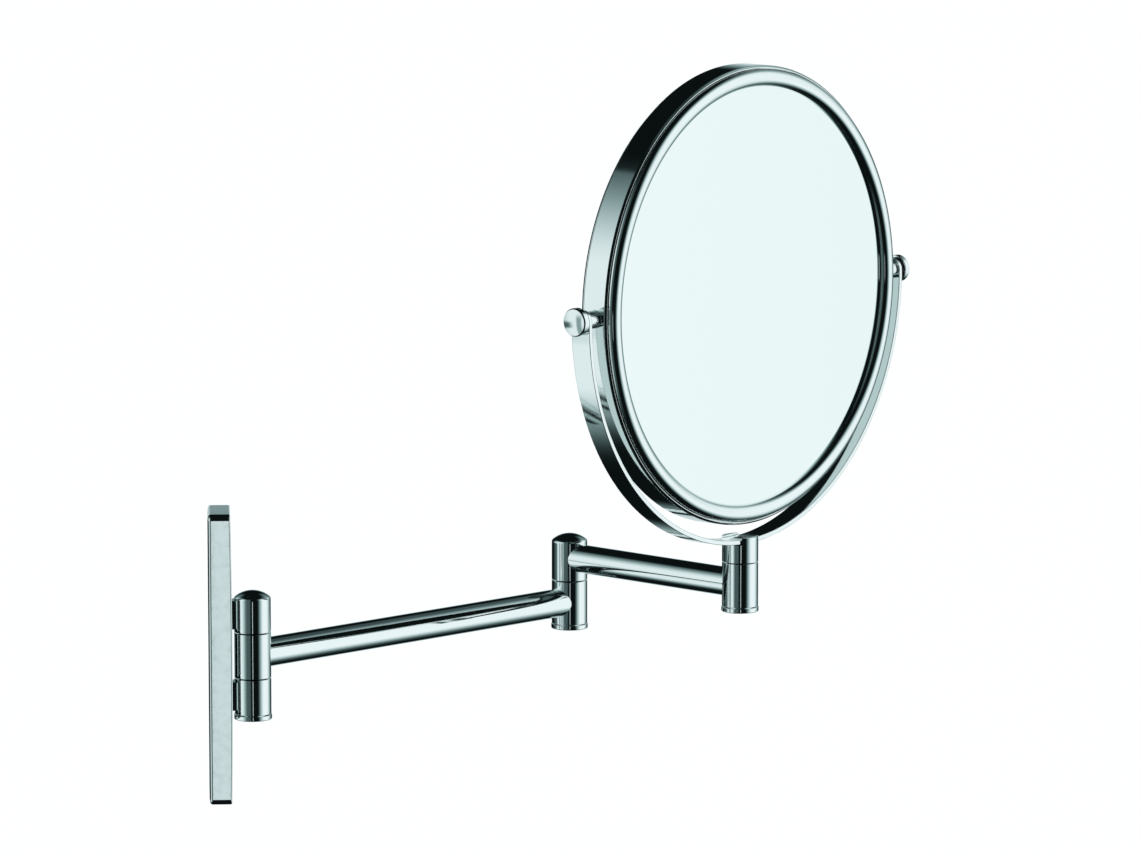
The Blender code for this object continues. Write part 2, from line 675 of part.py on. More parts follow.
# ---------------------------------------------------------------- yoke
def make_yoke_post():
    """The flat-topped post above the head seam, slotted across for the yoke's band."""
    outline = [(0.0, POST_TOP), (BARREL_R - EDGE_CHAMFER, POST_TOP), (BARREL_R, POST_TOP - EDGE_CHAMFER)]
    outline += outer_edge_down(POST_BOTTOM) + [(0.0, POST_BOTTOM)]
    post = turned("yoke_post", outline, CHROME, HEAD)
    slot_height = POST_TOP - POST_SLOT + CUT
    slot = box(
        "post_slot", (2 * BARREL_R + 2 * CUT, YOKE_WIDTH + 2 * SLOT_CLEARANCE, slot_height),
        (0.0, 0.0, POST_SLOT + slot_height / 2), HEAD,
    )
    bore = cylinder(
        "post_bore", BORE_R, POST_FLOOR + 2 * CUT, (0.0, 0.0, POST_BOTTOM + POST_FLOOR / 2), "Z", HEAD
    )
    boolean(post, slot, "DIFFERENCE")
    boolean(post, bore, "DIFFERENCE")


def outline_prism(name, outline, depth, parent):
    """A flat outline in its own XY plane, extruded to a depth and centred on that plane."""
    curve = bpy.data.curves.new(name, "CURVE")
    curve.dimensions = "2D"
    curve.fill_mode = "BOTH"
    curve.extrude = depth / 2
    spline = curve.splines.new("POLY")
    spline.points.add(len(outline) - 1)
    for point, (x, y) in zip(spline.points, outline):
        point.co = (x, y, 0.0, 1.0)
    spline.use_cyclic_u = True
    holder = bpy.data.objects.new(name + "_outline", curve)
    PARTS.objects.link(holder)
    graph = bpy.context.evaluated_depsgraph_get()
    mesh = bpy.data.meshes.new_from_object(holder.evaluated_get(graph))
    bpy.data.objects.remove(holder, do_unlink=True)
    work = bmesh.new()
    work.from_mesh(mesh)
    bmesh.ops.remove_doubles(work, verts=work.verts, dist=WELD)
    bmesh.ops.recalc_face_normals(work, faces=work.faces)
    work.to_mesh(mesh)
    work.free()
    return add_object(name, mesh, CHROME, parent)


def make_yoke_band():
    """A flat strip bent to a half circle under the tilt axis, with rounded ends around the pivots."""
    half_width = YOKE_WIDTH / 2
    # The bend's first corner is half a step below the tilt axis, so the pivot holes lie in one flat face.
    half_step = math.pi / BEND_STEPS / 2
    start, end = math.pi + half_step, math.tau - half_step
    outer = arc(0.0, 0.0, YOKE_OUTER_R, start, end, BEND_STEPS - 1)
    inner = arc(0.0, 0.0, YOKE_INNER_R, end, start, BEND_STEPS - 1)
    ends_up = half_width + CUT
    outline = [(-YOKE_OUTER_R, ends_up)] + outer + [(YOKE_OUTER_R, ends_up), (YOKE_INNER_R, ends_up)]
    outline += inner + [(-YOKE_INNER_R, ends_up)]
    band = outline_prism("yoke_band", outline, YOKE_WIDTH + 2 * CUT, TILT_OF_YOKE)
    band.rotation_euler = (math.pi / 2, 0.0, 0.0)

    pivots = cylinder(
        "yoke_pivot_holes", STUD_HOLE_R, 2 * (YOKE_OUTER_R + CUT), (0.0, 0.0, 0.0), "X", TILT_OF_YOKE
    )
    boolean(band, pivots, "DIFFERENCE")
    # The strip's own outline, seen along the tilt axis: straight sides and a round end.
    low = -(YOKE_OUTER_R + CUT)
    strip = [(half_width, low)] + arc(0.0, 0.0, half_width, 0.0, math.pi, END_STEPS) + [(-half_width, low)]
    keeper = as_cutter(outline_prism("yoke_strip", strip, 2 * (YOKE_OUTER_R + CUT), TILT_OF_YOKE))
    keeper.rotation_euler = (math.pi / 2, 0.0, math.pi / 2)
    boolean(band, keeper, "INTERSECT")

    seat = as_cutter(turned("yoke_screw_seat", screw_outline(GAP, CUT), CHROME, TILT_OF_YOKE, SMALL_STEPS))
    seat.location = (0.0, 0.0, -YOKE_INNER_R)
    boolean(band, seat, "DIFFERENCE")


def screw_outline(clearance, above):
    """The yoke's countersunk screw, or its seat with a clearance; height 0 is the band's inner face."""
    head = YOKE_SCREW_HEAD_R + clearance
    shank = YOKE_SCREW_R + clearance
    outline = [(0.0, above), (head, above)]
    if above > 0.0:
        outline.append((head, 0.0))
    return outline + [(shank, -COUNTERSINK), (shank, -YOKE_SCREW_LENGTH), (0.0, -YOKE_SCREW_LENGTH)]


def make_yoke():
    make_yoke_post()
    make_yoke_band()
    screw = turned("yoke_screw", screw_outline(0.0, 0.0), STEEL, TILT_OF_YOKE, SMALL_STEPS)
    screw.location = (0.0, 0.0, -YOKE_INNER_R)
    cap_top = bottom_hardware("head", -HALF_BARREL, HEAD)
    pin("head_pin", POST_SLOT - PIN_TOP_GAP, cap_top, HEAD, tapped=True)


# ---------------------------------------------------------------- mirror head
def facing(obj, front):
    """Turns a piece made about Z so that it faces forwards, or backwards."""
    obj.rotation_euler = (math.pi / 2 if front else -math.pi / 2, 0.0, 0.0)
    return obj


def bezel_outline():
    """A half-round ring that laps the glass, with a skirt that fits inside the rim."""
    base = RIM_HALF_DEPTH
    centre_r = (SKIRT_OUTER_R + BEZEL_INNER_R) / 2
    half = (SKIRT_OUTER_R - BEZEL_INNER_R) / 2
    bulge = [
        (
            centre_r - half * math.cos(math.pi * i / BULGE_STEPS),
            base + BEZEL_BULGE * math.sin(math.pi * i / BULGE_STEPS),
        )
        for i in range(BULGE_STEPS + 1)
    ]
    skirt_bottom = RIM_HALF_DEPTH - SKIRT_DEPTH
    return bulge + [
        (SKIRT_OUTER_R, skirt_bottom),
        (SKIRT_INNER_R, skirt_bottom),
        (SKIRT_INNER_R, base),
    ]


def glass_outline(curve_r):
    """A glass, flat or hollow-curved, with its edge at the rim's lip. Height 0 is the tilt axis."""
    steps = 1 if curve_r is None else HOLLOW_STEPS
    radii = [GLASS_R * i / steps for i in range(steps + 1)]

    def face(radius):
        if curve_r is None:
            return GLASS_FACE
        edge_depth = math.sqrt(curve_r**2 - GLASS_R**2)
        return GLASS_FACE - (math.sqrt(curve_r**2 - radius**2) - edge_depth)

    front = [(radius, face(radius)) for radius in radii]
    back = [(radius, face(radius) - GLASS_THICKNESS) for radius in reversed(radii)]
    return front + back


def make_mirror():
    outline = ring_outline(RIM_R, RIM_R - RIM_WALL, RIM_HALF_DEPTH, -RIM_HALF_DEPTH)
    rim = turned("rim_band", outline, CHROME, TILT, RING_STEPS, closed=True)
    facing(rim, True)
    holes = cylinder("rim_stud_holes", STUD_HOLE_R, 2 * (RIM_R + CUT), (0.0, 0.0, 0.0), "X", TILT)
    boolean(rim, holes, "DIFFERENCE")
    for side, front in (("front", True), ("rear", False)):
        facing(turned(side + "_bezel", bezel_outline(), CHROME, TILT, RING_STEPS, closed=True), front)
        curve_r = None if front else REAR_GLASS_CURVE_R
        facing(turned(side + "_glass", glass_outline(curve_r), SILVERED, TILT, RING_STEPS), front)
    make_carrier()


def make_carrier():
    """The plastic ring that keeps the two glasses apart."""
    front = GLASS_FACE - GLASS_THICKNESS - GAP
    hollow = math.sqrt(REAR_GLASS_CURVE_R**2 - CARRIER_INNER_R**2) - math.sqrt(
        REAR_GLASS_CURVE_R**2 - GLASS_R**2
    )
    rear = front - hollow
    outline = ring_outline(CARRIER_OUTER_R, CARRIER_INNER_R, front, -rear)
    facing(turned("glass_carrier", outline, CARRIER_PLASTIC, TILT, RING_STEPS, closed=True), True)


# ---------------------------------------------------------------- tilt pivots
def knob_outline():
    """A flat round knob with its stud, which runs in through the yoke and the rim to the nut."""
    outer = KNOB_INNER + KNOB_THICKNESS
    return [
        (0.0, outer),
        (KNOB_R - KNOB_EDGE, outer),
        (KNOB_R, outer - KNOB_EDGE),
        (KNOB_R, KNOB_INNER + KNOB_EDGE),
        (KNOB_R - KNOB_EDGE, KNOB_INNER),
        (STUD_R, KNOB_INNER),
        (STUD_R, STUD_END),
        (0.0, STUD_END),
    ]


def make_nut(side, sign):
    """The hexagon nut behind the rim's wall."""

    def build(work):
        corner = NUT_FLATS / math.sqrt(3)
        bmesh.ops.create_cone(
            work, cap_ends=True, segments=6, radius1=corner, radius2=corner, depth=NUT_THICKNESS
        )

    nut = add_object(side + "_pivot_nut", mesh_from(side + "_pivot_nut", build), STEEL, TILT)
    nut.rotation_euler = (0.0, math.pi / 2, 0.0)
    centre = sign * (NUT_OUTER - NUT_THICKNESS / 2)
    nut.location = (centre, 0.0, 0.0)
    thread = cylinder(
        side + "_nut_thread", STUD_HOLE_R, NUT_THICKNESS + 2 * CUT, (centre, 0.0, 0.0), "X", TILT
    )
    boolean(nut, thread, "DIFFERENCE")


def make_tilt_pivot(side, sign):
    """One side's knob, its washer outside the yoke, the spacer inside it, and the nut."""
    washer_bottom = YOKE_OUTER_R + GAP
    pieces = (
        turned(side + "_knob", knob_outline(), CHROME, TILT, ROUND_STEPS),
        turned(
            side + "_knob_washer",
            ring_outline(KNOB_WASHER_R, STUD_HOLE_R, washer_bottom + KNOB_WASHER_THICKNESS, washer_bottom),
            NYLON, TILT, SMALL_STEPS, closed=True,
        ),
        turned(
            side + "_spacer",
            ring_outline(SPACER_R, STUD_HOLE_R, YOKE_INNER_R - GAP, RIM_R + GAP),
            CHROME, TILT, SMALL_STEPS, closed=True,
        ),
    )
    for piece in pieces:
        piece.rotation_euler = (0.0, sign * math.pi / 2, 0.0)
    make_nut(side, sign)


# ---------------------------------------------------------------- assembly
TILT_OF_YOKE = axis_empty("yoke_centre", (0.0, 0.0, MIRROR_RISE), 0.0, HEAD)
make_wall_plate()
make_wall_bracket()
make_grub_screw()
make_wall_joint()
make_arm1()
make_arm2()
make_yoke()
make_mirror()
make_tilt_pivot("left", -1)
make_tilt_pivot("right", 1)
bpy.context.view_layer.update()
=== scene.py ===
# %% [markdown]
# # An extendable shaving mirror, in chrome
#
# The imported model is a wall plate, two arms on upright barrel pivots, a U-shaped yoke and a round
# two-sided mirror. Its solids have the right sizes and places, but they are drawn with few facets. Chrome
# shows every facet, so the pieces that can be seen are made again here, finer and with their small edge
# roundings, and each one takes the place of the solid that it copies.

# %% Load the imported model
import json
import math

import bmesh
import bpy
from mathutils import Matrix, Vector

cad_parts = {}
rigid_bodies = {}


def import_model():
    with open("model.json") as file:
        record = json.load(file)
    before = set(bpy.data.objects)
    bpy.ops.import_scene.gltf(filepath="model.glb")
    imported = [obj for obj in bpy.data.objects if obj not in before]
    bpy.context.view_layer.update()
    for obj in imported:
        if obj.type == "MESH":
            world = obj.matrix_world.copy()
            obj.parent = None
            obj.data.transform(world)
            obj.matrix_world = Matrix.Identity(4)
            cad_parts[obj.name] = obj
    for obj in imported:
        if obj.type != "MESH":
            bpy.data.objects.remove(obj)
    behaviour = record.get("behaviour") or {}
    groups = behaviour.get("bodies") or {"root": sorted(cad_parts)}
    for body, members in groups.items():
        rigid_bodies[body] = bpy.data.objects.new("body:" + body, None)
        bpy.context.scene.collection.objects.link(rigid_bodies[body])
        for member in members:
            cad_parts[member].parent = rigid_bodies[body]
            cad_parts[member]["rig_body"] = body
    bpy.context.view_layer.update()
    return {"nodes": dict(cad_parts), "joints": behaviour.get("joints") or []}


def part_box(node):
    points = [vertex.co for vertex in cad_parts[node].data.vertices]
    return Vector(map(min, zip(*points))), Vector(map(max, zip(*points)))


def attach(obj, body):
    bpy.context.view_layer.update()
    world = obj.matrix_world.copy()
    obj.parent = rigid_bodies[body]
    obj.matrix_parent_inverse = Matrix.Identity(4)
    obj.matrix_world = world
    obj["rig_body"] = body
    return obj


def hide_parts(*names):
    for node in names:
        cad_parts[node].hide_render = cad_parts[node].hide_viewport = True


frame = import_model()
NODES = frame["nodes"]
print("CAD nodes:", len(NODES))

# %% [markdown]
# ## Millimetres, and the places to work at
#
# A maker thinks of this object in millimetres, so the sizes below are in millimetres and one number turns
# them to Blender's metres. Each piece is drawn about its own axis, and a matrix then puts it in place. The
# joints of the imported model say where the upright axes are. Arm 1's centreline is at height 0.

# %% Work frames
MM = 0.001
AXIS = {joint["name"]: Vector(joint["pos_m"]) for joint in frame["joints"]}


def low(node):
    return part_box(node)[0] / MM


def high(node):
    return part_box(node)[1] / MM


def axes_at(place, ahead):
    """A frame at a place in metres, with Z up and its X axis level, along the given direction."""
    x = Vector((ahead[0], ahead[1], 0.0)).normalized()
    z = Vector((0.0, 0.0, 1.0))
    return Matrix.Translation(place) @ Matrix((x, z.cross(x), z)).transposed().to_4x4()


def level(joint):
    """The joint's place in plan, at height 0."""
    return Vector((AXIS[joint].x, AXIS[joint].y, 0.0))


ARM_RISE = (low("arm2_tube").z + high("arm2_tube").z) / 2
RISE = Vector((0.0, 0.0, ARM_RISE * MM))
TILT_AXIS = frame["joints"][-1]["axis"]
WALL = Matrix.Identity(4)
WALL_PIVOT = axes_at(level("wall_swivel"), (1.0, 0.0))
ARM1 = axes_at(level("wall_swivel"), level("elbow_swivel") - level("wall_swivel"))
ARM2 = axes_at(level("elbow_swivel") + RISE, level("head_swivel") - level("elbow_swivel"))
HEAD = axes_at(level("head_swivel"), TILT_AXIS)
TILT = axes_at(AXIS["mirror_tilt"], TILT_AXIS)
FRONT = TILT @ Matrix.Rotation(math.pi / 2, 4, "X")
REAR = TILT @ Matrix.Rotation(-math.pi / 2, 4, "X")
ARM1_LENGTH = (level("elbow_swivel") - level("wall_swivel")).length / MM
ARM2_LENGTH = (level("head_swivel") - level("elbow_swivel")).length / MM
print(f"arm 1 is {ARM1_LENGTH:.1f} mm between its axes, arm 2 is {ARM2_LENGTH:.1f} mm")

# %% [markdown]
# ## The camera
#
# A long lens about three metres away, as for a catalogue: it looks nearly along the wall, from the left
# side and a little above, so that the wall plate is seen edge-on and the mirror almost round. A near
# camera could fill the frame as well, but the two arms would then seem to spread.

# %% Camera
HEADING = math.radians(-3.117)  # from +X
LOOK_DOWN = math.radians(8.957)
STANDS_AT = (-2.9418, 0.0053, 0.5616)
FOCAL_LENGTH = 220.35

lens = bpy.data.cameras.new("catalogue_camera")
lens.lens = FOCAL_LENGTH
lens.sensor_width = 36.0
lens.clip_end = 50.0
camera = bpy.data.objects.new("catalogue_camera", lens)
camera.location = STANDS_AT
camera.rotation_euler = (math.pi / 2 - LOOK_DOWN, 0.0, HEADING - math.pi / 2)
bpy.context.scene.collection.objects.link(camera)
bpy.context.scene.camera = camera
print(f"the camera stands {Vector(STANDS_AT).length:.2f} m from the plate")

# %% [markdown]
# ## Colours and nodes
#
# Colours are written as they look on a screen, in sRGB hex, and a shader wants them linear. One small
# function turns them, and another adds a node, sets it and links it, so that a material reads as a list.


# %% Colour and node helpers
def linear(hex_colour):
    """A #rrggbb colour as the linear RGBA that a shader wants."""
    channels = [int(hex_colour[i : i + 2], 16) / 255 for i in (1, 3, 5)]
    return (*[c / 12.92 if c <= 0.04045 else ((c + 0.055) / 1.055) ** 2.4 for c in channels], 1.0)


def add_node(tree, kind, settings=None, **inputs):
    """Adds a node. Settings are its own fields; inputs are sockets by name, as a value or another socket."""
    node = tree.nodes.new(kind)
    for field, value in (settings or {}).items():
        setattr(node, field, value)
    for name, value in inputs.items():
        socket = node.inputs[int(name[1:])] if name[1:].isdigit() else node.inputs[name.replace("_", " ")]
        if isinstance(value, bpy.types.NodeSocket):
            tree.links.new(value, socket)
        else:
            socket.default_value = value
    return node


def new_material(name):
    """An empty node material: the material, its tree and the socket that its shader goes to."""
    material = bpy.data.materials.new(name)
    material.use_nodes = True
    material.node_tree.nodes.clear()
    output = add_node(material.node_tree, "ShaderNodeOutputMaterial")
    return material, material.node_tree, output.inputs["Surface"]


# %% [markdown]
# ## Polished chrome
#
# The arms, pivots, yoke and rim are brass, buffed and then chrome plated over nickel. The plate is a
# mirror with a faint cool tint, and the buffing under it leaves very slight waves and a little haze. A
# plain metal with no roughness would look like a computer's mirror ball, so a soft noise some 8 mm wide
# moves the surface by a thousandth of a millimetre, and a finer one changes the roughness a little.

# %% Polished chrome
FINISHES = {}


def polished_chrome():
    material, tree, surface = new_material("polished_chrome_plate")
    place = add_node(tree, "ShaderNodeTexCoord").outputs["Object"]
    haze = add_node(tree, "ShaderNodeTexNoise", Vector=place, Scale=1 / (3 * MM), Detail=3.0)
    roughness = add_node(
        tree, "ShaderNodeMapRange", Value=haze.outputs["Fac"],
        From_Min=0.3, From_Max=0.7, To_Min=0.035, To_Max=0.075,
    )
    waves = add_node(tree, "ShaderNodeTexNoise", Vector=place, Scale=1 / (8 * MM), Detail=1.0)
    bump = add_node(
        tree, "ShaderNodeBump", Strength=0.01, Distance=0.1 * MM, Height=waves.outputs["Fac"]
    )
    shader = add_node(
        tree, "ShaderNodeBsdfPrincipled", Base_Color=linear("#f0f6f5"), Metallic=1.0,
        Roughness=roughness.outputs["Result"], Normal=bump.outputs["Normal"],
    )
    tree.links.new(shader.outputs["BSDF"], surface)
    return material


FINISHES["chrome"] = polished_chrome()

# %% [markdown]
# ## Silvered glass
#
# Both mirrors are float glass with silver on the back. What the eye sees is the silver, through glass
# with a faint green tint, and a weak second reflection from the glass's own face. A real sheet of glass
# over a metal sheet could be built, but the render would need many more rays for the same look, so the
# silver is the base and a clear coat stands for the face of the glass.


# %% Silvered glass
def silvered_glass():
    material, tree, surface = new_material("silvered_float_glass")
    place = add_node(tree, "ShaderNodeTexCoord").outputs["Object"]
    film = add_node(tree, "ShaderNodeTexNoise", Vector=place, Scale=1 / (25 * MM), Detail=2.0)
    roughness = add_node(
        tree, "ShaderNodeMapRange", Value=film.outputs["Fac"],
        From_Min=0.3, From_Max=0.7, To_Min=0.0, To_Max=0.02,
    )
    shader = add_node(
        tree, "ShaderNodeBsdfPrincipled", Base_Color=linear("#f4faf8"), Metallic=1.0,
        Roughness=roughness.outputs["Result"], Coat_Weight=0.5, Coat_Roughness=0.0,
    )
    tree.links.new(shader.outputs["BSDF"], surface)
    return material


FINISHES["silvered_glass"] = silvered_glass()

# %% [markdown]
# ## Screws, springs and the bracket
#
# The pins, springs, nuts and screws are steel with a dull zinc plate, and the bracket is stainless sheet
# with its rolled grain. Zinc forms spangles and fine crystals, so its roughness follows small cells. The
# sheet's grain is noise stretched along Z, the way the sheet was rolled.


# %% Zinc-plated steel and stainless sheet
def zinc_plated_steel():
    material, tree, surface = new_material("zinc_plated_steel")
    place = add_node(tree, "ShaderNodeTexCoord").outputs["Object"]
    crystals = add_node(tree, "ShaderNodeTexVoronoi", Vector=place, Scale=1 / (0.8 * MM))
    roughness = add_node(
        tree, "ShaderNodeMapRange", Value=crystals.outputs["Distance"], To_Min=0.28, To_Max=0.45
    )
    tone = add_node(
        tree, "ShaderNodeMix", {"data_type": "RGBA"}, Factor=crystals.outputs["Distance"],
        _6=linear("#b9bcc0"), _7=linear("#a3a8ad"),
    )
    shader = add_node(
        tree, "ShaderNodeBsdfPrincipled", Base_Color=tone.outputs[2], Metallic=1.0,
        Roughness=roughness.outputs["Result"],
    )
    tree.links.new(shader.outputs["BSDF"], surface)
    return material


def rolled_stainless():
    material, tree, surface = new_material("rolled_stainless_sheet")
    place = add_node(tree, "ShaderNodeTexCoord").outputs["Object"]
    stretched = add_node(tree, "ShaderNodeMapping", Vector=place, Scale=(1.0, 1.0, 0.04))
    grain = add_node(
        tree, "ShaderNodeTexNoise", Vector=stretched.outputs["Vector"], Scale=1 / (0.3 * MM), Detail=3.0
    )
    roughness = add_node(
        tree, "ShaderNodeMapRange", Value=grain.outputs["Fac"], To_Min=0.25, To_Max=0.5
    )
    bump = add_node(
        tree, "ShaderNodeBump", Strength=0.1, Distance=0.03 * MM, Height=grain.outputs["Fac"]
    )
    shader = add_node(
        tree, "ShaderNodeBsdfPrincipled", Base_Color=linear("#c2c1bd"), Metallic=1.0,
        Roughness=roughness.outputs["Result"], Normal=bump.outputs["Normal"],
    )
    tree.links.new(shader.outputs["BSDF"], surface)
    return material


FINISHES["steel"] = zinc_plated_steel()
FINISHES["sheet_steel"] = rolled_stainless()

# %% [markdown]
# ## Nylon and moulded plastic
#
# The washers in the seams are black nylon, which looks waxy, and the ring between the two glasses is a
# grey moulded plastic with a fine spark-eroded texture. Both are the same idea: a base colour that
# varies a little, a middling roughness and a fine bump at the grain's real size.


# %% Nylon and plastic
def moulded(name, dark, light, grain_mm, roughness):
    """A moulded plastic whose colour wanders between two near shades."""
    material, tree, surface = new_material(name)
    place = add_node(tree, "ShaderNodeTexCoord").outputs["Object"]
    grain = add_node(tree, "ShaderNodeTexNoise", Vector=place, Scale=1 / (grain_mm * MM), Detail=2.0)
    tone = add_node(
        tree, "ShaderNodeMix", {"data_type": "RGBA"}, Factor=grain.outputs["Fac"],
        _6=linear(dark), _7=linear(light),
    )
    bump = add_node(
        tree, "ShaderNodeBump", Strength=0.2, Distance=0.03 * MM, Height=grain.outputs["Fac"]
    )
    shader = add_node(
        tree, "ShaderNodeBsdfPrincipled", Base_Color=tone.outputs[2], Roughness=roughness,
        Normal=bump.outputs["Normal"],
    )
    tree.links.new(shader.outputs["BSDF"], surface)
    return material


FINISHES["nylon"] = moulded("black_nylon", "#1c1c1e", "#2a2a2c", grain_mm=0.5, roughness=0.42)
FINISHES["grey_plastic"] = moulded(
    "grey_moulded_plastic", "#7c7f82", "#8d9093", grain_mm=0.3, roughness=0.55
)

# %% [markdown]
# ## Tools for turned pieces
#
# Nearly everything here was turned on a lathe, so its shape is one outline swung round an axis. The
# outline is drawn like a pencil line in the XZ plane, as radius and height in millimetres. A third number
# rounds that corner, with Blender's vertex bevel, and an arc is a vertex spun about the arc's centre. The
# finished line is then spun once round Z. Blender's Screw modifier could do the same, but the spin in a
# bmesh leaves a plain mesh that can be cut and bevelled further.

# %% Pencil and lathe
ROUND_CUTS = 4  # faces across a rounded corner
TURN_STEPS = 96  # faces round a barrel


def arc(radius, height, degrees, steps=10):
    """A step of an outline: swing round this centre. Positive turns from up towards outward."""
    return {"centre": (radius * MM, 0.0, height * MM), "angle": math.radians(degrees), "steps": steps}


def draw(work, outline, closed=False):
    """Draws an outline of (radius, height), (radius, height, rounding) and arc() steps."""
    pen, first, corners = None, None, []
    for step in outline:
        if isinstance(step, dict):
            swung = bmesh.ops.spin(
                work, geom=[pen], cent=step["centre"], axis=(0.0, 1.0, 0.0),
                angle=step["angle"], steps=step["steps"],
            )
            pen = [item for item in swung["geom_last"] if isinstance(item, bmesh.types.BMVert)][0]
            continue
        point = work.verts.new((step[0] * MM, 0.0, step[1] * MM))
        if pen:
            work.edges.new((pen, point))
        if len(step) == 3:
            corners.append((point, step[2] * MM))
        first, pen = first or point, point
    if closed:
        work.edges.new((pen, first))
    for corner, rounding in corners:
        bmesh.ops.bevel(
            work, geom=[corner], offset=rounding, offset_type="OFFSET", segments=ROUND_CUTS,
            profile=0.5, affect="VERTICES", material=-1,
        )


def turned(outline, closed=False, steps=TURN_STEPS):
    """A bmesh of the outline swung once round Z."""
    work = bmesh.new()
    draw(work, outline, closed)
    bmesh.ops.spin(
        work, geom=work.verts[:] + work.edges[:], cent=(0.0, 0.0, 0.0), axis=(0.0, 0.0, 1.0),
        angle=math.tau, steps=steps, use_merge=True,
    )
    bmesh.ops.remove_doubles(work, verts=work.verts, dist=MM / 10000)
    bmesh.ops.recalc_face_normals(work, faces=work.faces)
    return work


# %% [markdown]
# ## Rounding edges, and handing a piece over
#
# No plated edge is truly sharp: buffing takes it off, and the small rounding is what catches the light.
# A bevel along the sharp edges does that. A finished piece is then moved to its place, shaded smooth
# except at its creases, given a Weighted Normal modifier so that flats stay flat beside their roundings,
# and parented to its solid's body, so that it rides on it, while the solid itself is hidden.

# %% Rounding and handing over
CREASE = math.radians(30)


def round_edges(work, rounding, wanted=None, cuts=3):
    """Rounds the edges that turn sharply, or those among them that a test picks."""
    edges = [e for e in work.edges if e.calc_face_angle(0.0) > math.radians(50)]
    if wanted:
        edges = [e for e in edges if wanted(e)]
    bmesh.ops.bevel(
        work, geom=edges, offset=rounding * MM, offset_type="OFFSET", segments=cuts, profile=0.5,
        affect="EDGES", material=-1, clamp_overlap=True,
    )


def hand_over(work, node, slot, place):
    """Makes the bmesh an object in its place, in its finish, instead of the CAD node."""
    work.transform(place)
    bmesh.ops.recalc_face_normals(work, faces=work.faces)
    name = f"{slot}_{node}"
    mesh = bpy.data.meshes.new(name)
    work.to_mesh(mesh)
    work.free()
    mesh.shade_smooth()
    mesh.set_sharp_from_angle(angle=CREASE)
    mesh.materials.append(FINISHES[slot])
    piece = bpy.data.objects.new(name, mesh)
    bpy.context.scene.collection.objects.link(piece)
    weighted = piece.modifiers.new("flat faces stay flat", "WEIGHTED_NORMAL")
    weighted.keep_sharp = True
    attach(piece, NODES[node]["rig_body"])
    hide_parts(node)
    size = " x ".join(f"{side / MM:.1f}" for side in piece.dimensions)
    print(f"{name}: {size} mm, {len(mesh.polygons)} faces")


# %% [markdown]
# ## Drilling and cutting
#
# Holes are cut as a drill would cut them: a rod the size of the drill is placed through the piece, and
# Blender's Boolean modifier takes it away. A hole could also be drawn into the mesh face by face, but on a
# curved piece the Boolean finds the hole's edge by itself.

# %% Rods, and cutting one shape from another
def rod(radius, length, place, segments=48):
    """A plain rod about a place's Z axis, to cut with."""
    made = bmesh.new()
    bmesh.ops.create_cone(
        made, cap_ends=True, segments=segments, radius1=radius * MM, radius2=radius * MM, depth=length * MM,
        matrix=place,
    )
    return made


def cut(work, cutter):
    """Takes one bmesh from another, with Blender's Boolean modifier, and gives back a bmesh."""
    shapes = []
    for shape in (work, cutter):
        mesh = bpy.data.meshes.new("cutting")
        shape.to_mesh(mesh)
        shape.free()
        shapes.append(bpy.data.objects.new("cutting", mesh))
        bpy.context.scene.collection.objects.link(shapes[-1])
    boolean = shapes[0].modifiers.new("cut", "BOOLEAN")
    boolean.operation = "DIFFERENCE"
    boolean.solver = "EXACT"
    boolean.object = shapes[1]
    result = bmesh.new()
    result.from_object(shapes[0], bpy.context.evaluated_depsgraph_get())
    for shape in shapes:
        mesh = shape.data
        bpy.data.objects.remove(shape)
        bpy.data.meshes.remove(mesh)
    return result


# %% [markdown]
# ## The wall plate
#
# A slim cast bar, hollow behind, with a front that bows out by 0.6 mm from its ends to its middle. A
# cube stretched to the bar's size gets cuts across it, and the front's cuts are pushed out along a shallow
# curve. The edges across its two ends are rounded most, the wall-side edges less, and the front edges
# least. The hollow is the back face inset by the wall's thickness and pushed in, and a hole drilled up
# through the lower end shows the grub screw that locks the plate on its bracket.

# %% Wall plate sizes
PLATE_WIDTH, PLATE_DEPTH, PLATE_HEIGHT = high("wall_plate") - low("wall_plate")
PLATE_CROWN = 0.6
PLATE_WALL = 3.0
CROWN_CUTS = 15
END_ROUNDING = 2.6
FRONT_ROUNDING = 0.6
BACK_ROUNDING = 1.2
GRUB_HOLE_R = 2.3
GRUB_HOLE_DEPTH = 3.75  # from the wall


# %% Wall plate
def plate_bar():
    """The solid bar, its back on y = 0 and its front bowed."""
    work = bmesh.new()
    bmesh.ops.create_cube(work, size=1.0)
    ends_depth = (PLATE_DEPTH - PLATE_CROWN) * MM
    bmesh.ops.scale(work, vec=(PLATE_WIDTH * MM, ends_depth, PLATE_HEIGHT * MM), verts=work.verts)
    bmesh.ops.translate(work, vec=(0.0, -ends_depth / 2, 0.0), verts=work.verts)
    upright = [e for e in work.edges if abs(e.verts[0].co.z - e.verts[1].co.z) > PLATE_HEIGHT * MM / 2]
    bmesh.ops.subdivide_edges(work, edges=upright, cuts=CROWN_CUTS, use_grid_fill=True)
    for vert in work.verts:
        if vert.co.y < -ends_depth / 2:
            along = 2.0 * vert.co.z / (PLATE_HEIGHT * MM)
            vert.co.y -= PLATE_CROWN * MM * (1.0 - along**2)
    return work


def end_side(edge):
    """The edges where an end meets a side; they run from the wall to the front."""
    return abs(edge.verts[0].co.y - edge.verts[1].co.y) > PLATE_DEPTH * MM / 2


def on_front(edge):
    return all(v.co.y < -PLATE_DEPTH * MM * 0.8 for v in edge.verts)


def on_back(edge):
    return all(v.co.y > -MM / 100 for v in edge.verts)


